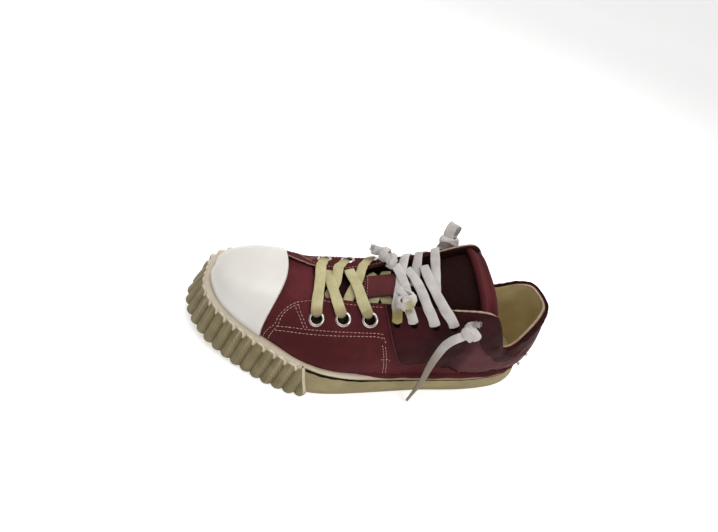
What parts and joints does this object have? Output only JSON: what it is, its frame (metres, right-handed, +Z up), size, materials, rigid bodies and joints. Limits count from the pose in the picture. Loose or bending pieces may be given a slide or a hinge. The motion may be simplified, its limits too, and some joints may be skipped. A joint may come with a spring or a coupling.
{
  "type": "low-top sneaker",
  "caption": "Low-top lace-up sneaker with a ribbed toe wrap, rubber toe cap, high-cut throat and open collar, for a left foot",
  "frame": {"origin": "centre of the shoe's bounding box, on the floor that the sole stands on, leaving out the loose lace ends", "axes": "+X toward the toe along the shoe's length, +Y toward the outer side of the foot, +Z up"},
  "size_m": [0.3022, 0.1278, 0.1055],
  "materials": {
    "khaki_rubber": "matt khaki moulded rubber, slightly dusty",
    "cream_rubber": "satin cream rubber band with a dark pinstripe",
    "white_rubber": "satin off-white rubber toe cap",
    "burgundy_canvas": "matt burgundy cloth",
    "burgundy_leather": "semi-gloss burgundy leather, creased",
    "khaki_lining": "khaki brushed lining",
    "dark_pile": "very dark brown pile with a burgundy rim",
    "eyelet_metal": "bright metal, slightly pink",
    "cream_lace": "flat woven lace, cream",
    "white_lace": "flat woven lace, white, tips stained yellow-green"
  },
  "bodies": {
    "root": {"outsole": "khaki_rubber", "toe_bumper": "khaki_rubber", "foxing_band": "cream_rubber", "toe_cap": "white_rubber", "upper": "burgundy_canvas", "rear_overlay": "burgundy_leather", "insole": "khaki_lining", "tongue": "dark_pile", "lace_keeper": "burgundy_canvas", "lace_bar": "cream_lace", "lace_cross_front": "cream_lace", "lace_cross_mid": "cream_lace", "lace_under_keeper": "cream_lace", "lace_rear": "white_lace", "lace_end_outer": "white_lace", "lace_end_inner": "white_lace", "lace_knot_front": "white_lace", "lace_knot_outer": "white_lace", "eyelet_outer_1": "eyelet_metal", "eyelet_outer_2": "eyelet_metal", "eyelet_outer_3": "eyelet_metal", "eyelet_inner_1": "eyelet_metal", "eyelet_inner_2": "eyelet_metal", "eyelet_inner_3": "eyelet_metal"}
  },
  "joints": []
}
